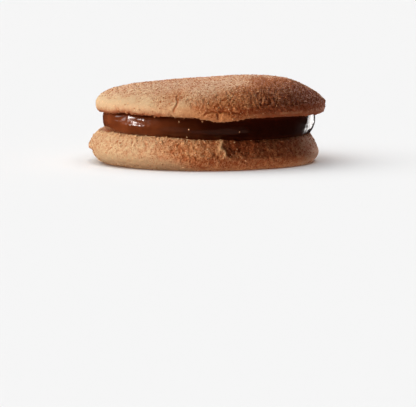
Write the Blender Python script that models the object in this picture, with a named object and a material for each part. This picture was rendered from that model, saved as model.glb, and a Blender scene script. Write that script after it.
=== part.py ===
"""An alfajor: two round, domed biscuits with a thick layer of dark caramel filling between them.

Metres, +Z up. The origin is the middle of the base that the lower biscuit rests on. The front is -Y
and the left is -X. Angles are in degrees round +Z, from 0 on the right to 270 in front.
"""

import math

import bmesh
import bpy

MM = 0.001

# Driving dimensions
BISCUIT_DIAMETER = 60.0 * MM
LOWER_THICKNESS = 8.1 * MM
FILLING_THICKNESS = 4.5 * MM
UPPER_THICKNESS = 8.5 * MM
CONTACT_GAP = 0.3 * MM
FILLING_INSET = 2.4 * MM

# How the three layers sit on each other
LOWER_SHIFT = (-1.1 * MM, 0.0)
FILLING_SHIFT = (0.45 * MM, -0.1 * MM)
UPPER_SHIFT = (0.9 * MM, -0.1 * MM)
LOWER_FACE_SLOPE = (-0.008, 0.018)  # the filling is thickest in front
FILLING_TOP_SLOPE = -0.006  # the upper biscuit's under face drops a little to the right

# Unevenness of each outline: (waves round the edge, height of the waves, angle of a crest)
LOWER_WAVES = ((2, 0.20 * MM, 45.0), (3, 0.20 * MM, 0.0), (5, 0.15 * MM, 270.0))
FILLING_WAVES = ((2, 0.30 * MM, 45.0), (3, 0.25 * MM, 330.0), (7, 0.12 * MM, 95.0))
UPPER_WAVES = ((2, 0.20 * MM, 80.0), (3, 0.25 * MM, 330.0), (4, 0.15 * MM, 20.0))

# The lower biscuit's side. It bulges, and slopes in over its shoulder to the top face.
LEFT_ANGLE = 180.0
LOWER_RIM_HEIGHT_LEFT = 4.6 * MM
LOWER_RIM_HEIGHT_RIGHT = 2.8 * MM
LOWER_UNDERCUT_LEFT = 5.0 * MM
LOWER_UNDERCUT_RIGHT = 3.2 * MM
LOWER_SHOULDER = 2.9 * MM
SHOULDER_CORNER = 0.25  # the share of the shoulder that rounds off the edge of the top face
FLAKE_HEIGHT = 3.4 * MM  # on the left the edge has split, and the dough above stands further out
FLAKE_STEP = 1.1 * MM
FLAKE_HALF_WIDTH = 22.0
FLAKE_EDGE = 0.4 * MM
SPLIT_ANGLE = 280.5  # an upright split in front, with a ridge on its left
SPLIT_DEPTH = 0.6 * MM
SPLIT_RANGE = (1.6 * MM, 8.0 * MM)
RIDGE_ANGLE = SPLIT_ANGLE - 3.0
RIDGE_HALF_WIDTH = 4.0
RIDGE_RISE = 0.4 * MM

# The filling's side: a soft bulge, and a thin fold that spreads over the lower biscuit
BULGE = 0.75 * MM
BULGE_CENTRE = 0.62
FOLD_ANGLE = 215.0
FOLD_HALF_WIDTH = 55.0
FOLD_REACH = 0.35 * MM
FOLD_TOP = (0.08, 0.22)  # the shares of the thickness between which the fold ends

# The upper biscuit's side, its flap and its crack
UPPER_RIM_HEIGHT_LEFT = 2.1 * MM
UPPER_RIM_HEIGHT_RIGHT = 2.9 * MM
UPPER_UNDERCUT = 1.5 * MM
LIP_ANGLE = 278.0  # a flap of the front edge, cracked along its top, sags over the filling
LIP_HALF_WIDTH = 15.0
LIP_DROP = 0.9 * MM
LIP_ROOT = 27.8 * MM  # the flap hangs from this line outwards
LIP_CRACK_HEIGHT = 1.7 * MM
LIP_CRACK_HALF_WIDTH = 0.35 * MM
LIP_CRACK_DEPTH = 0.5 * MM
EDGE_CRACK_ANGLE = 252.5  # an upright crack, left of the middle of the front
EDGE_CRACK_DEPTH = 0.7 * MM
EDGE_CRACK_RANGE = (0.7 * MM, 5.2 * MM)

# The upper biscuit's crown
CROWN_SLOPE = 0.051  # it rises to the right
CROWN_FLATNESS_LEFT = 4.2  # the higher, the further out the top stays flat
CROWN_FLATNESS_RIGHT = 4.9
CROWN_BLUNTNESS_LEFT = 0.5  # the lower, the blunter the rim
CROWN_BLUNTNESS_RIGHT = 1.0
ROLL_HEIGHT = 0.14 * MM
ROLL_LENGTH_X = 5.1 * MM
ROLL_LENGTH_Y = 6.3 * MM

# How finely the solids are made
COLUMNS = 72
FACE_RING = 14.0 * MM  # each flat face has one ring of points between its middle and its edge
LOWER_SIDE_MM = (0.0, 0.25, 0.8, 1.5, 2.2, 2.9, 3.35, 3.7, 4.4, 5.2, 6.0, 6.8, 7.5, 7.9, 8.1)
FILLING_SIDE_SHARES = (0.0, 0.06, 0.14, 0.24, 0.4, 0.55, 0.7, 0.84, 0.94, 1.0)
UPPER_SIDE_SHARES = (0.0, 0.06, 0.2, 0.4, 0.54, 0.67, 0.8, 0.92)
CROWN_RINGS = 13
CRACK_HALF_ANGLE = 0.9
CRACK_WANDER = 1.1
CRACK_WANDER_LENGTH = 0.75 * MM
SHARP_ANGLE = 50.0


# ---------------------------------------------------------------- small helpers
def smoothstep(low, high, value):
    """0 below low, 1 above high, and an even rise between them."""
    share = min(1.0, max(0.0, (value - low) / (high - low)))
    return share * share * (3.0 - 2.0 * share)


def between(low, high, value, fade):
    """1 inside a range, with both of its ends faded out."""
    return smoothstep(low, low + fade, value) * (1.0 - smoothstep(high - fade, high, value))


def blend(left_value, right_value, angle):
    """A value that differs between the left and the right side of a layer."""
    right_share = 0.5 + 0.5 * math.cos(math.radians(angle))
    return left_value + (right_value - left_value) * right_share


def turned_by(angle, centre):
    """The signed angle from centre to angle, from -180 to 180."""
    return (angle - centre + 180.0) % 360.0 - 180.0


def bump(angle, centre, half_width):
    """1 at centre, falling smoothly to 0 at half_width to either side."""
    share = min(1.0, abs(turned_by(angle, centre)) / half_width)
    return math.cos(share * math.pi / 2.0) ** 2


def outline(radius, waves, angle):
    """The radius of a layer's uneven edge at this angle."""
    return radius + sum(
        height * math.cos(math.radians(count * (angle - crest))) for count, height, crest in waves
    )


def place(angle, radius, shift):
    """The x and y at this angle and radius round a layer's own axis."""
    turn = math.radians(angle)
    return shift[0] + radius * math.cos(turn), shift[1] + radius * math.sin(turn)


# ---------------------------------------------------------------- cracks
def column_angles(*cracks):
    """Even columns round a layer. Each crack brings three close ones, which take the place of any near it."""
    step = 360.0 / COLUMNS
    even = [step * i for i in range(COLUMNS)]
    kept = [a for a in even if all(abs(turned_by(a, c)) > 2.0 * CRACK_HALF_ANGLE for c in cracks)]
    close = [c + offset for c in cracks for offset in (-CRACK_HALF_ANGLE, 0.0, CRACK_HALF_ANGLE)]
    return sorted(kept + close)


def crack_bend(angle, crack, height):
    """Turns the columns of a crack from side to side with height, so that it runs unevenly."""
    if abs(turned_by(angle, crack)) > 1.5 * CRACK_HALF_ANGLE:
        return angle
    return angle + CRACK_WANDER * math.sin(height / CRACK_WANDER_LENGTH)


def in_crack(angle, crack):
    """1 in the middle column of a crack, and 0 in every other column."""
    return 1.0 if abs(turned_by(angle, crack)) < 0.1 * CRACK_HALF_ANGLE else 0.0


# ---------------------------------------------------------------- the faces where layers meet
def base_face(_x, _y):
    """Height of the face that the alfajor rests on."""
    return 0.0


def lower_face(x, y):
    """Height of the lower biscuit's top face."""
    return LOWER_THICKNESS + LOWER_FACE_SLOPE[0] * x + LOWER_FACE_SLOPE[1] * y


def filling_bottom(x, y):
    """Height of the filling's underside, just clear of the lower biscuit."""
    return lower_face(x, y) + CONTACT_GAP


def filling_top(x, _y):
    """Height of the filling's top."""
    return LOWER_THICKNESS + CONTACT_GAP + FILLING_THICKNESS + FILLING_TOP_SLOPE * x


def upper_face(x, y):
    """Height of the upper biscuit's underside, just clear of the filling."""
    return filling_top(x, y) + CONTACT_GAP


def face_ring(angles, radius, height_at, shift):
    """A round ring of points on a face. With no radius it is the one point in the middle."""
    ring = []
    for angle in angles if radius else (0.0,):
        x, y = place(angle, radius, shift)
        ring.append((x, y, height_at(x, y)))
    return ring


# ---------------------------------------------------------------- building a layer
def layer(name, rings, material):
    """One closed solid from rings of points, bottom to top. The first and last are single points."""
    bm = bmesh.new()
    rings = [[bm.verts.new(p) for p in ring] for ring in rings]
    count = max(len(ring) for ring in rings)
    for below, above in zip(rings, rings[1:]):
        for i in range(count):
            corners = [
                below[i % len(below)],
                below[(i + 1) % len(below)],
                above[(i + 1) % len(above)],
                above[i % len(above)],
            ]
            bm.faces.new(dict.fromkeys(corners))
    bmesh.ops.recalc_face_normals(bm, faces=bm.faces)
    mesh = bpy.data.meshes.new(name)
    bm.to_mesh(mesh)
    bm.free()
    mesh.shade_smooth()
    mesh.set_sharp_from_angle(angle=math.radians(SHARP_ANGLE))
    mesh.materials.append(material)
    obj = bpy.data.objects.new(name, mesh)
    bpy.context.scene.collection.objects.link(obj)
    return obj


def food_material(name, colour, roughness):
    """A food's colour, in linear light, and how glossy it is."""
    material = bpy.data.materials.new(name)
    material.use_nodes = True
    shader = material.node_tree.nodes["Principled BSDF"]
    shader.inputs["Base Color"].default_value = (*colour, 1.0)
    shader.inputs["Roughness"].default_value = roughness
    shader.inputs["Metallic"].default_value = 0.0
    return material


# ---------------------------------------------------------------- lower biscuit
def lower_side_radius(angle, height):
    """Radius of the plain side: rounded under, widest at the rim, and sloping in above it."""
    edge = outline(BISCUIT_DIAMETER / 2.0, LOWER_WAVES, angle)
    rim_height = blend(LOWER_RIM_HEIGHT_LEFT, LOWER_RIM_HEIGHT_RIGHT, angle)
    if height < rim_height:
        drop = 1.0 - height / rim_height
        undercut = blend(LOWER_UNDERCUT_LEFT, LOWER_UNDERCUT_RIGHT, angle)
        return edge - undercut * (1.0 - math.sqrt(1.0 - drop * drop))
    rise = (height - rim_height) / (LOWER_THICKNESS - rim_height)
    slope = (1.0 - SHOULDER_CORNER) * rise**1.15 + SHOULDER_CORNER * rise**6
    return edge - LOWER_SHOULDER * slope


def flake_step(angle, height):
    """How far the side stands back below the flake."""
    below = 1.0 - smoothstep(FLAKE_HEIGHT - FLAKE_EDGE, FLAKE_HEIGHT, height)
    above_base = smoothstep(0.0, 3.0 * FLAKE_EDGE, height)
    return FLAKE_STEP * bump(angle, LEFT_ANGLE, FLAKE_HALF_WIDTH) * below * above_base


def split_relief(angle, height):
    """The ridge beside the split, less the split itself."""
    ridge = bump(angle, RIDGE_ANGLE, RIDGE_HALF_WIDTH) * between(*SPLIT_RANGE, height, 1.5 * MM)
    split = in_crack(angle, SPLIT_ANGLE) * between(*SPLIT_RANGE, height, 1.0 * MM)
    return RIDGE_RISE * ridge - SPLIT_DEPTH * split


def lower_ring(angles, height):
    """A ring of the side. It tilts with the top face, more the nearer it is to it."""
    ring = []
    for angle in angles:
        radius = lower_side_radius(angle, height) - flake_step(angle, height) + split_relief(angle, height)
        x, y = place(crack_bend(angle, SPLIT_ANGLE, height), radius, LOWER_SHIFT)
        tilt = (lower_face(x, y) - LOWER_THICKNESS) * smoothstep(0.0, LOWER_THICKNESS, height)
        ring.append((x, y, height + tilt))
    return ring


def lower_biscuit():
    """The biscuit that the alfajor stands on."""
    angles = column_angles(SPLIT_ANGLE)
    base = [face_ring(angles, radius, base_face, LOWER_SHIFT) for radius in (0.0, FACE_RING)]
    side = [lower_ring(angles, height * MM) for height in LOWER_SIDE_MM]
    top = [face_ring(angles, radius, lower_face, LOWER_SHIFT) for radius in (FACE_RING, 0.0)]
    return base + side + top


# ---------------------------------------------------------------- filling
def filling_radius(angle, rise):
    """Radius of the filling's side at this share of its thickness."""
    edge = outline(BISCUIT_DIAMETER / 2.0 - FILLING_INSET, FILLING_WAVES, angle)
    tuck = BULGE * abs(2.0 * (rise - BULGE_CENTRE)) ** 2.4
    fold = FOLD_REACH * bump(angle, FOLD_ANGLE, FOLD_HALF_WIDTH) * (1.0 - smoothstep(*FOLD_TOP, rise))
    return edge - tuck + fold


def filling_ring(angles, rise):
    """A ring of the side, at this share of the way from the filling's underside to its top."""
    ring = []
    for angle in angles:
        x, y = place(angle, filling_radius(angle, rise), FILLING_SHIFT)
        low, high = filling_bottom(x, y), filling_top(x, y)
        ring.append((x, y, low + (high - low) * rise))
    return ring


def filling():
    """The layer that runs through between the two biscuits."""
    angles = column_angles()
    base = [face_ring(angles, radius, filling_bottom, FILLING_SHIFT) for radius in (0.0, FACE_RING)]
    side = [filling_ring(angles, rise) for rise in FILLING_SIDE_SHARES]
    top = [face_ring(angles, radius, filling_top, FILLING_SHIFT) for radius in (FACE_RING, 0.0)]
    return base + side + top


# ---------------------------------------------------------------- upper biscuit
def lip_crack(angle, height):
    """Depth of the crack that runs along the top of the flap."""
    across = max(0.0, 1.0 - abs(height - LIP_CRACK_HEIGHT) / LIP_CRACK_HALF_WIDTH)
    along = smoothstep(0.0, 0.3, bump(angle, LIP_ANGLE, LIP_HALF_WIDTH))
    return LIP_CRACK_DEPTH * across * along


def edge_crack(angle, height):
    """Depth of the upright crack at the front edge."""
    return EDGE_CRACK_DEPTH * in_crack(angle, EDGE_CRACK_ANGLE) * between(*EDGE_CRACK_RANGE, height, 0.8 * MM)


def upper_side_ring(angles, share):
    """A ring of the side, at this share of the way up from the under face to the widest line."""
    ring = []
    for angle in angles:
        height = share * blend(UPPER_RIM_HEIGHT_LEFT, UPPER_RIM_HEIGHT_RIGHT, angle)
        tuck = UPPER_UNDERCUT * (1.0 - (1.0 - (1.0 - share) ** 2.5) ** 0.4)
        edge = outline(BISCUIT_DIAMETER / 2.0, UPPER_WAVES, angle)
        radius = edge - tuck - lip_crack(angle, height) - edge_crack(angle, height)
        sag = LIP_DROP * bump(angle, LIP_ANGLE, LIP_HALF_WIDTH) * (1.0 - smoothstep(0.5, 1.0, share))
        x, y = place(crack_bend(angle, EDGE_CRACK_ANGLE, height), radius, UPPER_SHIFT)
        ring.append((x, y, upper_face(x, y) + height - sag))
    return ring


def crown_height(angle, reach, edge):
    """Height of the domed top above the under face, at this share of the radius."""
    x, y = place(angle, reach * edge, (0.0, 0.0))
    flatness = blend(CROWN_FLATNESS_LEFT, CROWN_FLATNESS_RIGHT, angle)
    bluntness = blend(CROWN_BLUNTNESS_LEFT, CROWN_BLUNTNESS_RIGHT, angle)
    rim_height = blend(UPPER_RIM_HEIGHT_LEFT, UPPER_RIM_HEIGHT_RIGHT, angle)
    rolls = ROLL_HEIGHT * math.sin(x / ROLL_LENGTH_X + 1.0) * math.cos(y / ROLL_LENGTH_Y - 0.4)
    peak = UPPER_THICKNESS + CROWN_SLOPE * x + rolls
    return rim_height + (peak - rim_height) * (1.0 - reach**flatness) ** bluntness


def crown_ring(angles, reach):
    """A ring of the domed top, at this share of the radius."""
    ring = []
    for angle in angles:
        edge = outline(BISCUIT_DIAMETER / 2.0, UPPER_WAVES, angle)
        height = crown_height(angle, reach, edge)
        crack = edge_crack(angle, height)
        x, y = place(crack_bend(angle, EDGE_CRACK_ANGLE, height), reach * edge - crack, UPPER_SHIFT)
        ring.append((x, y, upper_face(x, y) + height - crack))
    return ring


def crown_top(x, y):
    """Height of the middle of the crown."""
    return upper_face(x, y) + UPPER_THICKNESS


def upper_biscuit():
    """The domed biscuit on top, with its flat face down on the filling."""
    angles = column_angles(EDGE_CRACK_ANGLE)
    reaches = [1.0 - (step / CROWN_RINGS) ** 1.6 for step in range(CROWN_RINGS)]
    under = [face_ring(angles, radius, upper_face, UPPER_SHIFT) for radius in (0.0, FACE_RING, LIP_ROOT)]
    side = [upper_side_ring(angles, share) for share in UPPER_SIDE_SHARES]
    crown = [crown_ring(angles, reach) for reach in reaches]
    return under + side + crown + [face_ring(angles, 0.0, crown_top, UPPER_SHIFT)]


# ---------------------------------------------------------------- the alfajor
def main():
    for obj in list(bpy.data.objects):
        bpy.data.objects.remove(obj)
    biscuit = food_material("biscuit", (0.60, 0.36, 0.19), 0.85)
    caramel = food_material("caramel", (0.075, 0.020, 0.008), 0.22)
    layer("lower_biscuit", lower_biscuit(), biscuit)
    layer("filling", filling(), caramel)
    layer("upper_biscuit", upper_biscuit(), biscuit)


main()
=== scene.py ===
"""The looks of the alfajor: two crumbly, dusted biscuits, a glossy caramel layer, and loose grains.

Metres, in the frame's axes: +Z up and the front at -Y. Angles are in degrees round +Z, from 0 on the right
to 270 in front. A height on a biscuit is measured from its own lower face.
"""

import itertools
import math

import bpy
import numpy as np
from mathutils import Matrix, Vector, noise
from mathutils.bvhtree import BVHTree

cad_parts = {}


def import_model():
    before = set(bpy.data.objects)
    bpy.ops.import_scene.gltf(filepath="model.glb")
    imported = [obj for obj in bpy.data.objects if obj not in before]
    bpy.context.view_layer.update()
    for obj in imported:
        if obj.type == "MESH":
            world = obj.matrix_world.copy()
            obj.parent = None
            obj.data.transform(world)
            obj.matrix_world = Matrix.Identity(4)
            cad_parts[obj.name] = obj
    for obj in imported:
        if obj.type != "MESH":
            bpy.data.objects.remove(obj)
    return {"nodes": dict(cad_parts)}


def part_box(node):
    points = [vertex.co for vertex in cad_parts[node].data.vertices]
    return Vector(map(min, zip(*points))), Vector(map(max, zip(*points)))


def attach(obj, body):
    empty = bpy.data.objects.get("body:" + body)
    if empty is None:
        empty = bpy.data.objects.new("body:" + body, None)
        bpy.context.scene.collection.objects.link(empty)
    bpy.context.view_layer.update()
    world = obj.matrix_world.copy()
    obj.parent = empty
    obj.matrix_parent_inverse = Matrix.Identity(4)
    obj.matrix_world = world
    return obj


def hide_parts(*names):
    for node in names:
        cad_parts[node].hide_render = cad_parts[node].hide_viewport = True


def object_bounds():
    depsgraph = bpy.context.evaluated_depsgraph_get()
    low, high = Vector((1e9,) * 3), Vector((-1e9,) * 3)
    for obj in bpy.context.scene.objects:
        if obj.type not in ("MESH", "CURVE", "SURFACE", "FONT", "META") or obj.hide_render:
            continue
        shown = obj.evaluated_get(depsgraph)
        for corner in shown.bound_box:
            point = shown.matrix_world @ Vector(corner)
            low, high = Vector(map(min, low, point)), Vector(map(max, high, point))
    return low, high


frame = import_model()
cad_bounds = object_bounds()

MM = 0.001
SEED = 7
FRONT = 270.0

# Things that a light may be kept to
lit = bpy.data.collections.new("lit_by_softboxes")
lit_dough = bpy.data.collections.new("lit_dough")
lit_caramel = bpy.data.collections.new("lit_caramel")

# Outlines and profiles of the solids that the pieces stand for
LOWER_WAVES = ((2, 0.20 * MM, 45.0), (3, 0.20 * MM, 0.0), (5, 0.15 * MM, 270.0))
FILLING_WAVES = ((2, 0.30 * MM, 45.0), (3, 0.25 * MM, 330.0), (7, 0.12 * MM, 95.0))
UPPER_WAVES = ((2, 0.20 * MM, 80.0), (3, 0.25 * MM, 330.0), (4, 0.15 * MM, 20.0))
LOWER_RIM_HEIGHT = (4.6 * MM, 2.8 * MM)  # pairs are values on the left and on the right
LOWER_UNDERCUT = (5.0 * MM, 3.2 * MM)
LOWER_SHOULDER = 2.9 * MM
SHOULDER_CORNER = 0.25
UPPER_RIM_HEIGHT = (2.1 * MM, 2.9 * MM)
UPPER_UNDERCUT = 1.5 * MM
CROWN_FLATNESS = (4.2, 4.9)
CROWN_BLUNTNESS = (0.5, 1.0)
ROLL_HEIGHT = 0.14 * MM
ROLL_LENGTHS = (5.1 * MM, 6.3 * MM)
BULGE = 0.75 * MM
BULGE_CENTRE = 0.62

# Fineness of the meshes
COLUMNS = 800
STEP = 0.25 * MM
FULL_RADIUS = 29.0 * MM  # columns are halved at a half of this radius, a quarter, and so on
MOST_HALVINGS = 4


# -------- small helpers
def smoothstep(low, high, value):
    """0 below low and 1 above high, or the other way round if high is below low."""
    share = np.clip((value - low) / (high - low), 0.0, 1.0)
    return share * share * (3.0 - 2.0 * share)


def span(value, limits):
    """1 between the second and the third of four limits, and 0 outside the first and the fourth."""
    start, full, end, gone = limits
    return smoothstep(start, full, value) * (1.0 - smoothstep(end, gone, value))


def turned_by(angle, centre):
    """The angle from centre, from -180 to 180."""
    return (angle - centre + 180.0) % 360.0 - 180.0


def bump(angle, centre, half_width):
    """1 at centre, falling to 0 at half_width to either side."""
    share = np.minimum(1.0, np.abs(turned_by(angle, centre)) / half_width)
    return np.cos(share * np.pi / 2.0) ** 2


def blend(pair, angle):
    """A value that goes from the first of the pair on the left to the second on the right."""
    left, right = pair
    return left + (right - left) * (0.5 + 0.5 * np.cos(np.radians(angle)))


def patch(from_front, height, spot):
    """A soft oval, 1 in its middle. spot is (angle from the front, half width, height, half height)."""
    middle, half_width, middle_height, half_height = spot
    across = (from_front - middle) / half_width
    up = (height - middle_height) / half_height
    return np.exp(-(across**2) - up**2)


def fractal(points, size, octaves, seed):
    """Noise at each point, about -1 to 1, with its largest features of this many millimetres."""
    offset = Vector((17.3, 5.1, 9.7)) * seed
    size = size * MM
    return np.array([noise.fractal(Vector(p) / size + offset, 1.0, 2.0, octaves) for p in points])


def scattered_spots(points, size, seed):
    """Distance from each point to the nearest scattered spot, and that spot's own number, 0 to 1."""
    offset = Vector((3.7, 11.9, 6.1)) * seed
    distance, number = np.empty(len(points)), np.empty(len(points))
    for i, p in enumerate(points):
        distances, spots = noise.voronoi(Vector(p) / size + offset)
        distance[i] = distances[0] * size
        number[i] = 0.5 + 0.5 * noise.cell(spots[0] * 31.7)
    return distance, number


def granules(points, size, seed):
    """Rounded lumps of this many millimetres: 1 on top of each, and 0 in the clefts."""
    size = size * MM
    distance, _ = scattered_spots(points, size, seed)
    return np.clip(1.0 - (distance / (0.72 * size)) ** 2, 0.0, 1.0)


def pinholes(points, spacing, radius, kept, seed):
    """1 inside this share of scattered holes, whose sizes are in millimetres, and 0 outside."""
    distance, number = scattered_spots(points, spacing * MM, seed)
    return np.where(number < kept, np.exp(-((distance / (radius * MM)) ** 2)), 0.0)


def wandered(points, reach, size, seeds):
    """The points, each moved a little, so that lines drawn on them are uneven."""
    return points + reach * np.stack([fractal(points, size, 2, seed) for seed in seeds], axis=1)


def clefts(lumps, grain):
    """Share of the clefts between lumps and grains, which get painted shade."""
    return smoothstep(0.05, -0.35, 0.9 * lumps + 0.8 * grain)


def added(*forms):
    """The sum of (height, form) pairs."""
    return sum(height * form for height, form in forms)


# -------- places read from the frame
class Outline:
    """A layer's edge, a circle with waves, as wide as its solid and in the same place."""

    def __init__(self, node, waves):
        self.waves = waves
        low, high = (np.array(corner)[:2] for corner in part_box(node))
        self.radius = (high - low).mean() / 2.0
        own_low, own_high = self.own_box()
        self.radius += ((high - low) - (own_high - own_low)).mean() / 2.0
        own_low, own_high = self.own_box()
        self.centre = ((low + high) - (own_low + own_high)) / 2.0

    def own_box(self):
        """The lowest and highest x and y of the edge round its own axis."""
        angles = np.arange(0.0, 360.0, 0.5)
        turn = np.radians(angles)
        points = self.at(angles)[:, None] * np.stack([np.cos(turn), np.sin(turn)], axis=1)
        return points.min(axis=0), points.max(axis=0)

    def at(self, angle):
        """The radius of the edge at this angle."""
        waves = sum(height * np.cos(np.radians(n * (angle - crest))) for n, height, crest in self.waves)
        return self.radius + waves

    def place(self, angle, radius):
        """The x and y at this angle and radius round the layer's axis."""
        turn = np.radians(angle)
        return self.centre[0] + radius * np.cos(turn), self.centre[1] + radius * np.sin(turn)

    def polar(self, points):
        """The angle and the radius of each point round the layer's axis."""
        x, y = points[:, 0] - self.centre[0], points[:, 1] - self.centre[1]
        return np.degrees(np.arctan2(y, x)) % 360.0, np.hypot(x, y)


class Face:
    """The plane of a solid's flat top (side 1) or bottom (side -1), read with three rays."""

    REACH = 10.0 * MM

    def __init__(self, node, side):
        mesh = frame["nodes"][node].data
        tree = BVHTree.FromPolygons([v.co for v in mesh.vertices], [p.vertices for p in mesh.polygons])

        def height(x, y):
            return tree.ray_cast(Vector((x, y, side)), Vector((0.0, 0.0, -side)))[0].z

        self.height = height(0.0, 0.0)
        self.slope_x = (height(self.REACH, 0.0) - self.height) / self.REACH
        self.slope_y = (height(0.0, self.REACH) - self.height) / self.REACH

    def at(self, x, y):
        """The height of the plane at this place."""
        return self.height + self.slope_x * x + self.slope_y * y


lower_edge = Outline("lower_biscuit", LOWER_WAVES)
filling_edge = Outline("filling", FILLING_WAVES)
upper_edge = Outline("upper_biscuit", UPPER_WAVES)
lower_top = Face("lower_biscuit", 1)
upper_under = Face("upper_biscuit", -1)


# Unevenness of the contact faces at the edge on the left
SWELL_ANGLES = (185.0, 215.0, 248.0, 268.0)
SWELL_RADII = (20.0 * MM, 26.0 * MM)
LOWER_SWELL = 0.5 * MM
UPPER_SWELL = 0.25 * MM
UPPER_NOTCH = (222.0, 11.0, 0.45 * MM)  # (angle, half width, height)


def swell(x, y):
    """Share of the swelling of a contact face at this place."""
    angle, radius = filling_edge.polar(np.stack([x, y], axis=1))
    return span(angle, SWELL_ANGLES) * smoothstep(*SWELL_RADII, radius)


def lower_top_at(x, y):
    """Height of the lower biscuit's top face."""
    return lower_top.at(x, y) + LOWER_SWELL * swell(x, y)


def upper_under_at(x, y):
    """Height of the upper biscuit's under face, which is notched at its edge on the left."""
    angle, radius = filling_edge.polar(np.stack([x, y], axis=1))
    notch_angle, half_width, height = UPPER_NOTCH
    notch = height * bump(angle, notch_angle, half_width) * smoothstep(*SWELL_RADII, radius)
    return upper_under.at(x, y) + UPPER_SWELL * swell(x, y) + notch


# -------- meshes from rings
def column_angles(*dense):
    """The angles of the columns, closer together round each (angle, half width, extra share)."""
    fine = np.arange(0.0, 360.0, 0.05)
    extra = sum(share * np.exp(-((turned_by(fine, angle) / half) ** 2)) for angle, half, share in dense)
    weight = 1.0 + extra
    travelled = np.concatenate([[0.0], np.cumsum(weight)])
    return np.interp(np.arange(COLUMNS) * travelled[-1] / COLUMNS, travelled, np.append(fine, 360.0))


def bridge(a, a_count, b, b_count):
    """Faces between the rings that start at vertices a and b, whose counts are equal, double, or one."""
    if a_count == b_count:
        i = np.arange(a_count)
        j = (i + 1) % a_count
        return np.stack([a + i, a + j, b + j, b + i], axis=1).tolist()
    if 1 in (a_count, b_count):
        i = np.arange(max(a_count, b_count))
        j = (i + 1) % len(i)
        if a_count == 1:
            return np.stack([np.full(len(i), a), b + j, b + i], axis=1).tolist()
        return np.stack([a + i, a + j, np.full(len(i), b)], axis=1).tolist()
    coarse = np.arange(min(a_count, b_count))
    ahead = (coarse + 1) % len(coarse)
    fine = 2 * coarse
    fine_ahead = (fine + 2) % (2 * len(coarse))
    if a_count > b_count:
        corners = (
            (a + fine, a + fine + 1, b + coarse),
            (a + fine + 1, b + ahead, b + coarse),
            (a + fine + 1, a + fine_ahead, b + ahead),
        )
    else:
        corners = (
            (a + coarse, b + fine + 1, b + fine),
            (a + coarse, a + ahead, b + fine + 1),
            (a + ahead, b + fine_ahead, b + fine + 1),
        )
    return np.concatenate([np.stack(c, axis=1) for c in corners]).tolist()


def ringed_mesh(name, rings):
    """A closed mesh from rings of points, bottom to top."""
    faces = []
    start = 0
    for below, above in zip(rings, rings[1:]):
        faces += bridge(start, len(below), start + len(below), len(above))
        start += len(below)
    mesh = bpy.data.meshes.new(name)
    mesh.from_pydata(np.concatenate(rings).tolist(), [], faces)
    mesh.shade_smooth()
    return mesh


def points_and_normals(mesh):
    """The place and the outward direction of each vertex."""
    points, normals = np.empty(len(mesh.vertices) * 3), np.empty(len(mesh.vertices) * 3)
    mesh.vertices.foreach_get("co", points)
    mesh.vertex_normals.foreach_get("vector", normals)
    return points.reshape(-1, 3), normals.reshape(-1, 3)


def move_points(mesh, points):
    """Puts the mesh's vertices at new places."""
    mesh.vertices.foreach_set("co", points.astype(np.float32).ravel())
    mesh.update()


def store(mesh, **values):
    """Keeps values for each vertex under these names, which a material can read."""
    for name, value in values.items():
        data = mesh.attributes.new(name, "FLOAT", "POINT").data
        data.foreach_set("value", value.astype(np.float32))


def evenly_along(values, line, endpoint):
    """Those of the values whose points on the line are about STEP apart."""
    travelled = np.concatenate([[0.0], np.cumsum(np.linalg.norm(np.diff(line, axis=0), axis=1))])
    count = int(travelled[-1] / STEP)
    return np.interp(np.linspace(0.0, travelled[-1], count, endpoint=endpoint), travelled, values)


def level_of(radius):
    """How often the columns are halved at this radius, to stay about STEP apart."""
    return int(np.clip(math.floor(math.log2(FULL_RADIUS / max(radius, 0.01 * MM))), 0, MOST_HALVINGS))


def disc_rings(outline, angles, radii, height_at):
    """Rings across a face, from the middle outwards or back."""
    rings = []
    for radius in radii:
        if radius == 0.0:
            x, y = outline.place(np.zeros(1), 0.0)
        else:
            x, y = outline.place(angles[:: 2 ** level_of(radius)], radius)
        rings.append(np.stack([x, y, height_at(x, y)], axis=1))
    return rings


def piece(mesh, material):
    """An object in the scene that rides on the alfajor's one body."""
    obj = bpy.data.objects.new(mesh.name, mesh)
    bpy.context.scene.collection.objects.link(obj)
    mesh.materials.append(material)
    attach(obj, "root")
    lit.objects.link(obj)
    return obj


# -------- cracks
def path_distance(angle, height, path, radius):
    """Distance from each point on a side to a path, and its share along the path."""
    best = np.full(len(angle), np.inf)
    share = np.zeros(len(angle))
    across = np.radians(turned_by(angle, path[0][0])) * radius
    corners = [(math.radians(turned_by(a, path[0][0])) * radius, h * MM) for a, h in path]
    for i, ((x0, z0), (x1, z1)) in enumerate(zip(corners, corners[1:])):
        dx, dz = x1 - x0, z1 - z0
        t = np.clip(((across - x0) * dx + (height - z0) * dz) / (dx * dx + dz * dz), 0.0, 1.0)
        d = np.hypot(across - x0 - t * dx, height - z0 - t * dz)
        share = np.where(d < best, (i + t) / (len(corners) - 1), share)
        best = np.minimum(best, d)
    return best, share


def groove(distance, share, half_width):
    """A groove's depth, 0 to 1. It closes towards the ends of its path."""
    ends = smoothstep(0.0, 0.12, share) * (1.0 - smoothstep(0.88, 1.0, share))
    return np.exp(-((distance / half_width) ** 2)) * (0.25 + 0.75 * ends)


# -------- loose grains and crumbs
def icosahedron():
    """Points and outward triangles of an icosahedron of radius 1."""
    golden = (1.0 + math.sqrt(5.0)) / 2.0
    pairs = itertools.product((-1, 1), (-golden, golden))
    points = np.array([p for a, b in pairs for p in ((0, a, b), (a, b, 0), (b, 0, a))])
    faces = []
    for corners in itertools.combinations(range(12), 3):
        triangle = points[list(corners)]
        if np.allclose(np.linalg.norm(triangle - np.roll(triangle, 1, axis=0), axis=1), 2.0):
            faces.append(corners if np.linalg.det(triangle) > 0.0 else corners[::-1])
    return points / np.linalg.norm(points[0]), np.array(faces)


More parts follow.
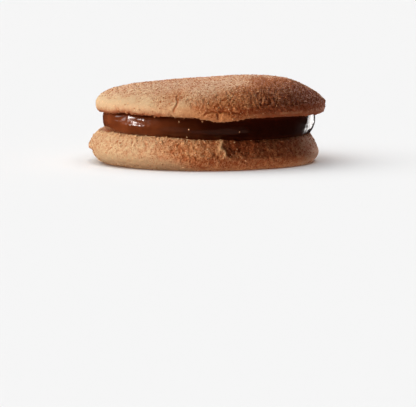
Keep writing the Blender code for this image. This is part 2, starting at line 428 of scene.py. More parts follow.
def ball(rounds):
    """Points and triangles of an icosahedron that is split this many times into a ball."""
    points, faces = icosahedron()
    for _ in range(rounds):
        corners = points[faces]
        middles = (corners + np.roll(corners, -1, axis=1)) / 2.0
        start = len(points)
        new = start + np.arange(3 * len(faces)).reshape(-1, 3)
        points = np.concatenate([points, middles.reshape(-1, 3)])
        points /= np.linalg.norm(points, axis=1)[:, None]
        parts = [
            np.stack([faces[:, 0], new[:, 0], new[:, 2]], axis=1),
            np.stack([new[:, 0], faces[:, 1], new[:, 1]], axis=1),
            np.stack([new[:, 2], new[:, 1], faces[:, 2]], axis=1),
            new,
        ]
        faces = np.concatenate(parts)
        points, inverse = np.unique(points.round(6), axis=0, return_inverse=True)
        faces = inverse.reshape(-1)[faces]
    return points, faces


def places_on(mesh, weight, count, rng):
    """Random points on a mesh, with their normals. weight is the density at each vertex."""
    mesh.calc_loop_triangles()
    triangles = np.empty(len(mesh.loop_triangles) * 3, dtype=np.int32)
    mesh.loop_triangles.foreach_get("vertices", triangles)
    triangles = triangles.reshape(-1, 3)
    points, normals = points_and_normals(mesh)
    corners = points[triangles]
    crossed = np.cross(corners[:, 1] - corners[:, 0], corners[:, 2] - corners[:, 0])
    area = np.linalg.norm(crossed, axis=1) / 2.0
    density = area * weight[triangles].mean(axis=1)
    chosen = rng.choice(len(triangles), count, p=density / density.sum())
    a, b = rng.random((2, count))
    a, b = np.where(a + b > 1.0, 1.0 - a, a), np.where(a + b > 1.0, 1.0 - b, b)
    share = np.stack([1.0 - a - b, a, b], axis=1)[:, :, None]
    normal = (normals[triangles[chosen]] * share).sum(axis=1)
    return (corners[chosen] * share).sum(axis=1), normal / np.linalg.norm(normal, axis=1)[:, None]


def turned_frames(normals, rng):
    """For each normal, three axes: two random ones across it, and the normal."""
    random = rng.normal(size=normals.shape)
    across = np.cross(normals, random)
    across /= np.linalg.norm(across, axis=1)[:, None]
    return np.stack([across, np.cross(normals, across), normals], axis=1)


def bits(name, places, normals, sizes, rng, rounds=0, flatness=0.75, sunk=0.3, roughness=0.25):
    """One mesh of many uneven bits, each sunk a little into the surface."""
    shape, faces = ball(rounds)
    count = len(places)
    stretch = rng.uniform(0.7, 1.25, (count, 1, 3)) * np.array([1.0, 1.0, flatness])
    uneven = 1.0 + roughness * rng.uniform(-1.0, 1.0, (count, len(shape), 1))
    local = shape[None] * uneven * stretch * (sizes / 2.0)[:, None, None]
    local[:, :, 2] += ((0.5 - sunk) * flatness * sizes)[:, None]
    world_points = np.einsum("nvi,nij->nvj", local, turned_frames(normals, rng)) + places[:, None, :]
    world_points[:, :, 2] = np.maximum(world_points[:, :, 2], 0.0)
    all_faces = faces[None] + (np.arange(count) * len(shape))[:, None, None]
    mesh = bpy.data.meshes.new(name)
    mesh.from_pydata(world_points.reshape(-1, 3).tolist(), [], all_faces.reshape(-1, 3).tolist())
    mesh.shade_smooth()
    return mesh


def stored(mesh, name):
    """The values that store kept under this name."""
    values = np.empty(len(mesh.vertices))
    mesh.attributes[name].data.foreach_get("value", values)
    return values


def scattered(mesh, name, weight, count, sizes, seed, **shape):
    """Bits over a biscuit, more where weight is higher, and more small ones than large ones."""
    rng = np.random.default_rng(seed)
    places, normals = places_on(mesh, weight, count, rng)
    smallest, largest, rarity = sizes
    sizes = smallest + (largest - smallest) * rng.random(count) ** rarity
    return bits(name, places, normals, sizes, rng, **shape)


# (angle, height over the ground in millimetres) of those in front
CARAMEL_CRUMBS = ((254.2, 12.2), (259.4, 10.4), (258.0, 8.5), (266.4, 12.4), (286.0, 9.7))
CARAMEL_CRUMB_HEIGHT = 10.5 * MM  # of the others
NOWHERE = 1e-9  # a density at which nothing lands


def crumbs_on_caramel(mesh, name, others, seed):
    """Tiny crumbs that stuck to the caramel: CARAMEL_CRUMBS in front, and others beside and behind."""
    rng = np.random.default_rng(seed)
    points, normals = points_and_normals(mesh)
    angle, radius = filling_edge.polar(points)
    share = np.exp(-(((points[:, 2] - CARAMEL_CRUMB_HEIGHT) / (1.6 * MM)) ** 2))
    share = share * (radius > 26.0 * MM) * (points[:, 1] > -5.0 * MM)
    places, directions = places_on(mesh, share + NOWHERE, others, rng)
    for crumb_angle, height in CARAMEL_CRUMBS:
        off = np.hypot(np.radians(turned_by(angle, crumb_angle)) * radius, points[:, 2] - height * MM)
        nearest = np.argmin(np.where(radius > 25.0 * MM, off, 1.0))
        places = np.concatenate([places, points[nearest : nearest + 1]])
        directions = np.concatenate([directions, normals[nearest : nearest + 1]])
    small, large = rng.uniform(0.20, 0.35, others), rng.uniform(0.38, 0.5, len(CARAMEL_CRUMBS))
    sizes = np.append(small, large) * MM
    return bits(name, places, directions, sizes, rng, rounds=1, flatness=0.8, sunk=0.4, roughness=0.25)


def hanging_edge(mesh):
    """Where crumbs hang from the upper biscuit: its lower corner."""
    points, _ = points_and_normals(mesh)
    _, radius = upper_edge.polar(points)
    height = points[:, 2] - upper_under_at(points[:, 0], points[:, 1])
    return (radius > 27.6 * MM) * np.exp(-((height / (0.35 * MM)) ** 2)) + NOWHERE


def shoulder_edge(mesh):
    """Where crumbs stand on the lower biscuit: beside the caramel."""
    points, _ = points_and_normals(mesh)
    angle, radius = lower_edge.polar(points)
    sides = 1.0 - 0.8 * bump(angle, 190.0, 50.0)  # fewer on the left
    return (radius > 26.0 * MM) * smoothstep(6.6 * MM, 8.0 * MM, points[:, 2]) * sides + NOWHERE


# -------- upper biscuit
UPPER_DENSE = ((252.8, 1.6, 1.4), (276.0, 10.0, 1.0), (270.0, 80.0, 0.4))  # for column_angles, at the cracks
UNDER_RADII = np.array([0.0, 3.0, 7.0, 12.0, 17.0, 21.0, 24.0, 26.0, 27.4, 28.0]) * MM
UPPER_SIDE_RINGS = 25
UPPER_THICKNESS = 8.5 * MM
CROWN_SLOPE = 0.051
CROWN_DIPS = ((-8.0 * MM, 13.0 * MM, 0.50 * MM), (26.0 * MM, 3.5 * MM, 0.9 * MM))  # (x, half width, depth)
BLUNT_END = (0.0, 55.0, 0.4)  # (angle, half width, share of the undercut that is filled)

# The flap that sags over the caramel, and other unevenness of the lower corner, at angles
LIP_ANGLE = 276.3
LIP_HALF_WIDTH = 15.0
LIP_DROP = 0.9 * MM
LIP_LOBES = ((270.2, 0.75 * MM, 3.2, 0.95 * MM), (278.3, 0.70 * MM, 4.6, 1.1 * MM))
NICK = (250.3, 1.2, 0.45 * MM)  # (angle, half width, height)
LIFTED = (286.0, 292.0, 310.0, 330.0)  # the corner is a little higher between these angles
LIFT = 0.36 * MM
CORNER_WIDTH = 0.9 * MM

# Cracks. A path is made of (angle, height in millimetres)
EDGE_CRACK = ((251.2, 5.9), (251.6, 5.0), (253.4, 4.2), (253.3, 3.3), (252.4, 2.4), (252.0, 1.1))
LIP_CRACK = (
    *((266.6, 0.3), (266.9, 1.1), (267.8, 1.5), (271.0, 1.75), (273.0, 1.6)),
    *((276.0, 1.8), (279.0, 1.55), (282.0, 1.4), (284.6, 1.4), (286.4, 1.7)),
)
LIP_BRANCH = ((273.2, 1.6), (273.6, 1.1), (273.2, 0.5), (273.5, -0.3))
# (path, half width, depth of 1)
CRACKS = ((EDGE_CRACK, 0.26 * MM, 0.34), (LIP_CRACK, 0.22 * MM, 0.85), (LIP_BRANCH, 0.18 * MM, 0.6))

# Colours lie at angles from the front, so that the left is below 0
DUST_LINE = 4.4 * MM
DUST_DIP = (-23.0, 10.0)  # (angle, half width) where the line is lower, left of the edge crack
DUST_DIP_DEPTH = 2.3 * MM
DUST_DROP = (-13.0, -2.0, 80.0, 110.0)  # it is lower between these angles
DUST_DROP_DEPTH = 3.1 * MM
RUST_SPOT = (6.0, 13.0, 3.2 * MM, 1.9 * MM)  # for patch
AMBER_SPOT = (9.0, 24.0, 1.0 * MM, 3.4 * MM)
CRACK_STAIN = (-19.0, 6.0, 5.6 * MM, 1.5 * MM)
# painted shade under the corner right of the flap
SHADED_CORNER = (24.0, 12.0, 1.0 * MM, 1.6 * MM)
RUST_WEDGE = (0.62, -0.78, 27.0 * MM)  # a line on the crown: its normal, and how far in front it starts
BROWNED_EDGE = (7.5 * MM, 15.0 * MM)  # browning and painted shade to the right of these x, in front and in the middle
UNBAKED = (243.0, 252.0, 288.0, 300.0)  # the lower corner is not baked dark between these angles
BAKED_WIDTH = 1.05 * MM


def upper_side_ring(angles, share):
    """A ring of the side, at this share of the way up to the widest line."""
    height = share * blend(UPPER_RIM_HEIGHT, angles)
    blunt_angle, blunt_half_width, blunt_share = BLUNT_END
    undercut = UPPER_UNDERCUT * (1.0 - blunt_share * bump(angles, blunt_angle, blunt_half_width))
    tuck = undercut * (1.0 - (1.0 - (1.0 - share) ** 2.5) ** 0.4)
    sag = LIP_DROP * bump(angles, LIP_ANGLE, LIP_HALF_WIDTH) * (1.0 - smoothstep(0.5, 1.0, share))
    x, y = upper_edge.place(angles, upper_edge.at(angles) - tuck)
    flat = share * upper_under.at(x, y) + (1.0 - share) * upper_under_at(x, y)
    return np.stack([x, y, flat + height - sag], axis=1)


def crown_ring(angles, reach):
    """A ring of the domed top, at this share of the radius."""
    edge = upper_edge.at(angles)
    out_x = reach * edge * np.cos(np.radians(angles))
    out_y = reach * edge * np.sin(np.radians(angles))
    rolls = ROLL_HEIGHT * np.sin(out_x / ROLL_LENGTHS[0] + 1.0) * np.cos(out_y / ROLL_LENGTHS[1] - 0.4)
    rim = blend(UPPER_RIM_HEIGHT, angles)
    dips = sum(depth * np.exp(-(((out_x - x) / half_width) ** 2)) for x, half_width, depth in CROWN_DIPS)
    peak = UPPER_THICKNESS + CROWN_SLOPE * out_x + rolls
    x, y = upper_edge.place(angles, reach * edge)
    dome = (1.0 - reach ** blend(CROWN_FLATNESS, angles)) ** blend(CROWN_BLUNTNESS, angles)
    height = rim + (peak - rim) * dome
    return np.stack([x, y, upper_under.at(x, y) + height - dips * (1.0 - reach**4)], axis=1)


def crown_reaches():
    """Shares of the radius, from the rim to the middle, evenly spaced over the crown."""
    reach = 1.0 - np.linspace(0.0, 1.0, 4000) ** 2
    line = np.concatenate([crown_ring(np.full(1, 225.0), r) for r in reach])
    return evenly_along(reach, line, endpoint=False)


def smooth_upper_biscuit():
    """The shape of the upper biscuit without its relief."""
    angles = column_angles(*UPPER_DENSE)
    under = disc_rings(upper_edge, angles, UNDER_RADII, upper_under_at)
    side = [upper_side_ring(angles, share) for share in np.linspace(0.0, 1.0, UPPER_SIDE_RINGS)[:-1]]
    crown = []
    for reach in crown_reaches():
        crown.append(crown_ring(angles[:: 2 ** level_of(reach * upper_edge.radius)], reach))
    crown.append(crown_ring(np.zeros(1), 0.0))
    return ringed_mesh("upper_biscuit_crumb", under + side + crown)


def upper_dust(points, angle, from_front, height):
    """Share of dusting, which covers the crown down to a wandering line."""
    line = DUST_LINE - DUST_DIP_DEPTH * bump(from_front, *DUST_DIP)
    line = line - DUST_DROP_DEPTH * span(from_front, DUST_DROP)
    line = line - 1.0 * MM * bump(angle, LIP_ANGLE, 1.6 * LIP_HALF_WIDTH)
    line = line + 1.1 * MM * fractal(points, 3.0, 3, 3)
    return smoothstep(-1.0 * MM, 1.1 * MM, height - line)


def upper_browned(points, height, dust):
    """Share of browning and painted shade on the right of the crown, which turns away from the key light. It
    is weaker at the back and the right end.
    """
    x = points[:, 0]
    back = np.clip(1.0 + points[:, 1] / upper_edge.radius, 0.0, 2.0)
    edge = BROWNED_EDGE[0] + (BROWNED_EDGE[1] - BROWNED_EDGE[0]) * back
    browned = smoothstep(-4.5 * MM, 5.0 * MM, x - edge + 3.5 * MM * fractal(points, 4.5, 4, 34))
    browned = browned * smoothstep(1.1, 0.72, back) * (1.0 - 0.35 * smoothstep(25.0 * MM, 29.0 * MM, x))
    return browned * np.maximum(dust, smoothstep(0.8 * MM, 2.0 * MM, height))


def upper_rust(points, from_front, height, dust, browned):
    """Share of reddish-brown dough: above the flap, behind it on the crown, and in clouds; on the crown's
    right it also holds the browning and painted shade.
    """
    rust = patch(from_front, height, RUST_SPOT)
    normal_x, normal_y, distance = RUST_WEDGE
    wedge = normal_x * points[:, 0] + normal_y * (points[:, 1] + distance)
    wedge = smoothstep(-2.5 * MM, 4.0 * MM, wedge + 1.6 * MM * fractal(points, 3.0, 3, 37))
    wedge = 0.9 * wedge * smoothstep(1.2 * MM, 2.4 * MM, height) * (from_front < 80.0)
    clouds = 0.45 * smoothstep(0.25, 0.8, fractal(points, 14.0, 2, 30)) * dust
    by_crack = 0.6 * patch(from_front, height, CRACK_STAIN)
    for share in (wedge, browned, clouds, by_crack):
        rust = np.maximum(rust, share)
    return rust


def upper_cracks(points, from_front, height):
    """How deep the cracks are, and how much painted shade darkens them, both 0 to 1."""
    wander = wandered(points, 0.12 * MM, 0.9, (31, 32, 33))
    crack_angle, _ = upper_edge.polar(wander)
    crack_height = height + wander[:, 2] - points[:, 2]
    front = np.abs(from_front) < 40.0
    crack = np.zeros(len(points))
    mark = np.zeros(len(points))
    for path, half_width, depth in CRACKS:
        distance, share = path_distance(crack_angle, crack_height, path, upper_edge.radius)
        cut = np.where(front, groove(distance, share, half_width), 0.0)
        crack = np.maximum(crack, depth * cut)
        mark = np.maximum(mark, cut)
    return crack, mark


def flap_lobes(angle, height):
    """Rounded lobes below the flap's crack, 1 in the middle of each."""
    lobes = np.zeros(len(angle))
    for lobe_angle, lobe_height, half_angle, half_height in LIP_LOBES:
        out = (turned_by(angle, lobe_angle) / half_angle) ** 2 + ((height - lobe_height) / half_height) ** 2
        lobes = np.maximum(lobes, np.sqrt(np.clip(1.0 - out, 0.0, 1.0)))
    return lobes


def height_over_corner(points, angle, height):
    """Height over the lower corner, which hangs down at the flap."""
    sag = LIP_DROP * bump(angle, LIP_ANGLE, LIP_HALF_WIDTH) * (1.0 - smoothstep(0.0, 2.0 * MM, height))
    return points[:, 2] - upper_under_at(points[:, 0], points[:, 1]) + sag


def raise_corner(moved, points, angle, radius, corner):
    """Makes the lower corner ragged, with a nick, and lifts it right of the flap."""
    moved[:, 2] += 0.18 * MM * fractal(points, 0.8, 2, 9) * corner
    nick_angle, nick_half_width, nick_height = NICK
    moved[:, 2] += nick_height * bump(angle, nick_angle, nick_half_width) * corner
    moved[:, 2] += LIFT * span(angle, LIFTED) * corner * smoothstep(27.9 * MM, 28.9 * MM, radius)


def upper_biscuit():
    """The domed biscuit on top."""
    mesh = smooth_upper_biscuit()
    points, normals = points_and_normals(mesh)
    angle, radius = upper_edge.polar(points)
    from_front = turned_by(angle, FRONT)
    height = points[:, 2] - upper_under.at(points[:, 0], points[:, 1])
    outside = smoothstep(26.5 * MM, 28.5 * MM, radius + np.maximum(0.0, height - 1.0 * MM) * 50.0)
    dust = upper_dust(points, angle, from_front, height)
    browned = upper_browned(points, height, dust)
    rust = upper_rust(points, from_front, height, dust, browned)
    crack, mark = upper_cracks(points, from_front, height)
    pits = pinholes(points, 1.9, 0.2, 0.35, 4)
    stain = smoothstep(0.0, 0.35, fractal(points, 1.6, 3, 35)) * rust
    rough = 0.42 + 0.58 * np.maximum(dust, bump(angle, LIP_ANGLE, 1.3 * LIP_HALF_WIDTH))
    lumps = (granules(points, 0.75, 6) - 0.55) * (rough + 0.5 * rust + 0.5 * browned)
    grain = fractal(points, 0.6, 2, 7) * (rough + 0.4 * rust)
    over_corner = height_over_corner(points, angle, height)
    corner = np.exp(-((over_corner / CORNER_WIDTH) ** 2)) * outside
    relief = added(  # in millimetres
        (0.12, fractal(points, 6.0, 2, 5)),
        (0.085, lumps),
        (0.09, grain),
        (0.24, fractal(points, 0.9, 2, 8) * corner),
        (0.24, flap_lobes(angle, height)),
        (-0.15, pits),
        (-0.42, crack),
        (-0.09, stain),
    )
    moved = points + normals * (relief * outside * MM)[:, None]
    raise_corner(moved, points, angle, radius, corner)
    move_points(mesh, moved)
    baked_width = BAKED_WIDTH * (1.0 + 0.7 * fractal(points, 1.2, 2, 10))
    baked = np.exp(-((over_corner / baked_width) ** 2)) * (1.0 - span(angle, UNBAKED))
    scorch = smoothstep(0.05, 0.4, fractal(points, 1.5, 3, 36)) * smoothstep(0.2, 0.9, rust)
    store(
        mesh,
        dust=dust,
        # more dark grains on the crown's right: painted shade, partly real browning
        grains=dust * (1.0 + 2.0 * browned),
        # painted shade in the clefts between lumps
        cleft=clefts(lumps, grain),
        # painted shade in the cracks and pinholes
        crack=np.clip(1.15 * mark + 0.6 * pits, 0.0, 1.0),
        crust=np.maximum(1.0 - outside, baked),
        # reddish-brown patches; on the crown's right also painted shade
        rust=np.clip(0.66 * rust + 0.6 * stain, 0.0, 1.0),
        # dark specks where reddish, and painted shade under the corner right of the flap
        scorch=np.maximum(scorch, 0.75 * patch(from_front, height, SHADED_CORNER)),
        # darker and redder towards the crown's right: painted shade, partly real browning
        umber=browned * smoothstep(6.0 * MM, 24.0 * MM, points[:, 0]),
        # orange dough, also over the painted shade on the crown's right
        amber=1.4 * np.maximum(rust, patch(from_front, height, AMBER_SPOT)),
    )
    return mesh


# -------- lower biscuit
LOWER_DENSE = ((180.0, 22.0, 0.3), (280.5, 5.0, 0.6))  # for column_angles, at the flake and the split
BASE_RADII = np.concatenate([[0.0, 1.0], np.arange(2.0, 24.6, 0.55)]) * MM
LOWER_TOP_RADII = np.array([26.6, 26.1, 25.6, 25.0, 23.5, 21.0, 17.0, 12.0, 7.0, 3.0, 0.0]) * MM
LOWER_THICKNESS = lower_top.height

# The flake at the left edge, and the split in front with its pale ridge
FLAKE_ANGLE = 180.0
FLAKE_HEIGHT = 3.95 * MM
FLAKE_STEP = 1.1 * MM
FLAKE_HALF_WIDTH = 22.0
FLAKE_GAP = (0.25 * MM, 0.24 * MM)  # (how far below the flake's line, half height)
SPLIT_RIDGE = ((280.3, 8.0), (279.4, 6.5), (278.9, 5.5), (280.6, 4.9), (281.2, 3.2))  # a path, as of a crack
RIDGE_HALF_WIDTH = 0.62 * MM
HOLLOWS = (  # (angle, height, half width, half height, depth of 1); their colour holds painted shade
    (285.2, 5.6 * MM, 1.3 * MM, 1.6 * MM, 0.65),
    (291.5, 6.1 * MM, 3.2 * MM, 1.7 * MM, 0.85),
)

# The torn, dusted part of the side, at angles from the front
TORN = (-37.0, -8.0, 42.0, 75.0)
PLAIN_HEIGHT = 4.4 * MM  # below this it is plain on the left
LOWER_SHADE = (24.0, 11.0, 6.2 * MM, 2.3 * MM)  # for patch: painted shade right of the split


def flake_line(angles):
    """The height of the split under the flake, which wanders up and down."""
    return FLAKE_HEIGHT + 0.35 * MM * np.sin(np.radians(angles * 9.0))


def lower_side_radius(angles, height):
    """Radius of the side: rounded under, widest at the rim, and set back below the flake."""
    rim = blend(LOWER_RIM_HEIGHT, angles)
    drop = np.clip(1.0 - height / rim, 0.0, 1.0)
    rise = np.clip((height - rim) / (LOWER_THICKNESS - rim), 0.0, 1.0)
    undercut = blend(LOWER_UNDERCUT, angles) * (1.0 - np.sqrt(1.0 - drop * drop))
    shoulder = LOWER_SHOULDER * ((1.0 - SHOULDER_CORNER) * rise**1.15 + SHOULDER_CORNER * rise**6)
    below = 1.0 - smoothstep(flake_line(angles) - 0.3 * MM, flake_line(angles), height)
    flake = FLAKE_STEP * bump(angles, FLAKE_ANGLE, FLAKE_HALF_WIDTH) * below
    return lower_edge.at(angles) - undercut - shoulder - flake * smoothstep(0.0, 1.2 * MM, height)


def lower_side_ring(angles, height):
    """A ring of the side. It tilts with the top face, more the nearer it is to it."""
    x, y = lower_edge.place(angles, lower_side_radius(angles, height))
    tilt = (lower_top.at(x, y) - LOWER_THICKNESS) * smoothstep(0.0, LOWER_THICKNESS, height)
    raised = LOWER_SWELL * swell(x, y) * smoothstep(0.45 * LOWER_THICKNESS, LOWER_THICKNESS, height)
    return np.stack([x, y, height + tilt + raised], axis=1)


def lower_side_heights():
    """Heights that are evenly spaced over the curve of the side."""
    height = LOWER_THICKNESS * (0.5 - 0.5 * np.cos(np.linspace(0.0, np.pi, 2000)))
    radius = lower_side_radius(np.full(len(height), FRONT), height)
    return evenly_along(height, np.stack([radius, height], axis=1), endpoint=True)


def smooth_lower_biscuit():
    """The shape of the lower biscuit without its relief."""
    angles = column_angles(*LOWER_DENSE)
    base = disc_rings(lower_edge, angles, BASE_RADII, lambda x, y: 0.0 * x)
    side = [lower_side_ring(angles, height) for height in lower_side_heights()]
    top = disc_rings(lower_edge, angles, LOWER_TOP_RADII, lower_top_at)
    return ringed_mesh("lower_biscuit_crumb", base + side + top)


def split(points, from_front):
    """The pale ridge along the split, and the hollows to the right of it, both 0 to 1."""
    front = np.abs(from_front) < 50.0
    wander = wandered(points, 0.2 * MM, 1.3, (41, 42, 43))
    angle, _ = lower_edge.polar(wander)
    distance, share = path_distance(angle, wander[:, 2], SPLIT_RIDGE, lower_edge.radius)
    ridge = np.where(front, groove(distance, share, RIDGE_HALF_WIDTH), 0.0)
    hollow = np.zeros(len(points))
    for middle, middle_height, half_width, half_height, depth in HOLLOWS:
        across = np.radians(turned_by(angle, middle)) * lower_edge.radius / half_width
        up = (wander[:, 2] - middle_height) / half_height
        one = depth * np.exp(-((across**2 + up**2) ** 1.2))
        hollow = np.maximum(hollow, np.where(front, one, 0.0))
    return ridge, hollow


def lower_torn(points, from_front, height):
    """Share of torn, dusted dough: in front, and in clouds behind."""
    start, full, end, gone = TORN
    torn = smoothstep(start, full, from_front + 7.0 * fractal(points, 3.5, 3, 49))
    torn = torn * (1.0 - smoothstep(end, gone, from_front))
    clouds = smoothstep(0.0, 0.5, fractal(points, 16.0, 2, 44))
    torn = np.maximum(torn, clouds * smoothstep(112.0, 130.0, np.abs(from_front)))
    plain = PLAIN_HEIGHT * (1.0 - smoothstep(-22.0, 4.0, from_front)) * (from_front < 90.0)
    return torn * smoothstep(-2.5 * MM, 1.5 * MM, height - plain)


def lower_scorch(points, from_front, height, torn, hollow, pits):
    """Share of scorched specks, and of painted shade: right of the split, in the hollows and in the holes.
    """
    scorch = 0.15 * smoothstep(0.1, 0.5, fractal(points, 1.8, 3, 48)) * torn
    # painted shade right of the split, in the hollows and in the holes
    scorch = scorch + 1.25 * patch(from_front, height, LOWER_SHADE)
    return np.clip(scorch + 0.9 * hollow + 0.9 * pits, 0.0, 1.3)


def lower_amber(points, from_front, height, torn, hollow):
    """Share of orange dough: the torn part, more to the right; and painted warm shade at the upper corner
    and in the hollows.
    """
    warm = torn * smoothstep(-48.0, -2.0, from_front + 8.0 * fractal(points, 3.0, 2, 47))
    warm = np.where(np.abs(from_front) < 60.0, warm, 0.5 * torn)
    # painted warm bounce light at the upper corner, in the shade under the upper biscuit
    warm = np.maximum(warm, 0.35 * smoothstep(LOWER_THICKNESS - 1.0 * MM, LOWER_THICKNESS, height))
    return np.clip(warm + hollow, 0.0, 1.0)


def lower_biscuit():
    """The biscuit underneath, with its flat face up."""
    mesh = smooth_lower_biscuit()
    points, normals = points_and_normals(mesh)
    angle, radius = lower_edge.polar(points)
    from_front = turned_by(angle, FRONT)
    height = points[:, 2]
    hidden = smoothstep(26.4 * MM, 25.6 * MM, radius) * (height > 6.0 * MM)
    base_face = smoothstep(0.6 * MM, 0.0, height) * smoothstep(27.0 * MM, 25.0 * MM, radius)
    ridge, hollow = split(points, from_front)
    torn = lower_torn(points, from_front, height)
    band = smoothstep(2.2 * MM, 4.4 * MM, height)
    pits = pinholes(points, 1.3, 0.25, 0.4, 14) * (0.3 + 0.7 * band) * (height > 1.0 * MM)
    pores = pinholes(points, 1.0, 0.2, 0.65, 46) * torn
    stain = smoothstep(0.0, 0.35, fractal(points, 1.5, 3, 45)) * torn
    rough = 0.45 + 0.80 * band * (1.0 - torn) + 0.65 * torn
    lumps = (granules(points, 1.15, 16) - 0.55) * rough
    grain = fractal(points, 0.65, 2, 17) * rough
    gap_below, gap_half_height = FLAKE_GAP
    flake_gap = np.exp(-(((height - flake_line(angle) + gap_below) / gap_half_height) ** 2))
    flake_gap = flake_gap * bump(angle, FLAKE_ANGLE, 1.5 * FLAKE_HALF_WIDTH)
    relief = added(  # in millimetres
        (0.10, fractal(points, 5.0, 2, 15)),
        (0.10, lumps),
        (0.09, grain),
        (0.36, ridge),
        (-0.60, hollow),
        (-0.42, pits),
        (-0.20, pores),
        (-0.45, flake_gap),
        (-0.10, stain),
    )
    relief = relief * (1.0 - 0.75 * base_face) * (1.0 - hidden)
    moved = points + normals * (relief * MM)[:, None]
    moved[:, 2] = np.maximum(moved[:, 2], 0.0)
    move_points(mesh, moved)
    speckled = smoothstep(-2.0 * MM, 3.0 * MM, height) * (0.2 + 0.4 * band * (1.0 - torn) + 0.8 * torn)
    # painted shade in the pinholes, pores, hollows and the gap under the flake
    dark_holes = np.clip(1.1 * pits + 0.7 * pores + 0.3 * hollow + 0.4 * flake_gap, 0.0, 1.0)
    clean = 1.0 - ridge
    store(
        mesh,
        # more dust in the hollows right of the split, partly painted shade
        dust=np.clip(speckled + 0.6 * hollow, 0.0, 1.0) * clean,
        # more dark grains in the hollows, partly painted shade
        grains=np.clip(speckled + hollow, 0.0, 1.5) * clean,
        # painted shade in the clefts between lumps
        cleft=clefts(lumps, grain) * clean,
        crack=dark_holes * clean,
        crust=np.maximum(0.6 * base_face, hidden),
        # reddish stains, and painted shade in the hollows
        rust=np.clip(0.1 * torn + 0.6 * stain + 1.2 * hollow, 0.0, 1.0) * clean,
        scorch=lower_scorch(points, from_front, height, torn, hollow, pits) * clean,
        umber=np.zeros(len(points)),
        # orange dough, and painted warm shade at the upper corner and in the hollows
        amber=lower_amber(points, from_front, height, torn, hollow) * (1.0 - 0.5 * ridge),
    )
    return mesh


# -------- caramel
CARAMEL_RADII = np.array([0.0, 4.0, 9.0, 14.0, 18.0, 21.5, 24.0]) * MM  # of the hidden rings inside
CARAMEL_SIDE_RINGS = 44
GAP = 0.3 * MM  # between each biscuit's solid and the filling's
OVERLAP = 0.42 * MM  # how far the caramel reaches past its solid, because it wets the biscuits
FOLD_RISE = (0.1, 0.16)  # (share of the way up, half height)
FOLD = (221.0, 27.0)  # (angle, half width), and so are the others
SLUMP = (231.0, 26.0)
WRINKLES = (231.0, 14.0)
CALM = (275.0, 40.0)


def caramel_ring(angles, rise):
    """A ring of the side, at this share of the way up."""
    tuck = BULGE * np.abs(2.0 * (rise - BULGE_CENTRE)) ** 2.4
    fold_middle, fold_half_height = FOLD_RISE
    fold = bump(angles, *FOLD) * 0.45 * MM * np.exp(-(((rise - fold_middle) / fold_half_height) ** 2))
    slump = 0.12 * MM - 0.60 * MM * smoothstep(0.35, 0.85, rise) - 0.5 * MM * smoothstep(0.8, 1.0, rise)
    slump = slump * bump(angles, *SLUMP)
    x, y = filling_edge.place(angles, filling_edge.at(angles) - tuck + fold + slump)
    low, high = caramel_low(x, y), caramel_high(x, y)
    return np.stack([x, y, low + (high - low) * rise], axis=1)


def caramel_low(x, y):
    """Height of the caramel's underside."""
    return lower_top_at(x, y) + GAP - OVERLAP


def caramel_high(x, y):
    """Height of the caramel's top face."""
    return upper_under_at(x, y) - GAP + OVERLAP


def caramel():
    """The glossy layer between the biscuits."""
    angles = column_angles((WRINKLES[0], 10.0, 0.5))
    low = disc_rings(filling_edge, angles, CARAMEL_RADII, caramel_low)
    side = [caramel_ring(angles, rise) for rise in np.linspace(0.0, 1.0, CARAMEL_SIDE_RINGS)]
    high = disc_rings(filling_edge, angles, CARAMEL_RADII[::-1], caramel_high)
    mesh = ringed_mesh("caramel_layer", low + side + high)

    points, normals = points_and_normals(mesh)
    angle, radius = filling_edge.polar(points)
    shown = smoothstep(24.5 * MM, 26.0 * MM, radius)
    low_streaks = fractal(points * np.array([1.0, 1.0, 5.0]), 7.0, 2, 21)
    slumps = (0.07 * low_streaks + 0.05 * fractal(points, 2.2, 2, 22)) * (1.0 - 0.6 * bump(angle, *CALM))
    tall_streaks = fractal(points * np.array([1.0, 1.0, 0.45]), 1.3, 2, 23)
    wrinkles = 0.040 * tall_streaks * bump(angle, *WRINKLES)
    fine = 0.006 * fractal(points, 0.7, 2, 24)
    move_points(mesh, points + normals * ((slumps + wrinkles + fine) * shown * MM)[:, None])
    return mesh


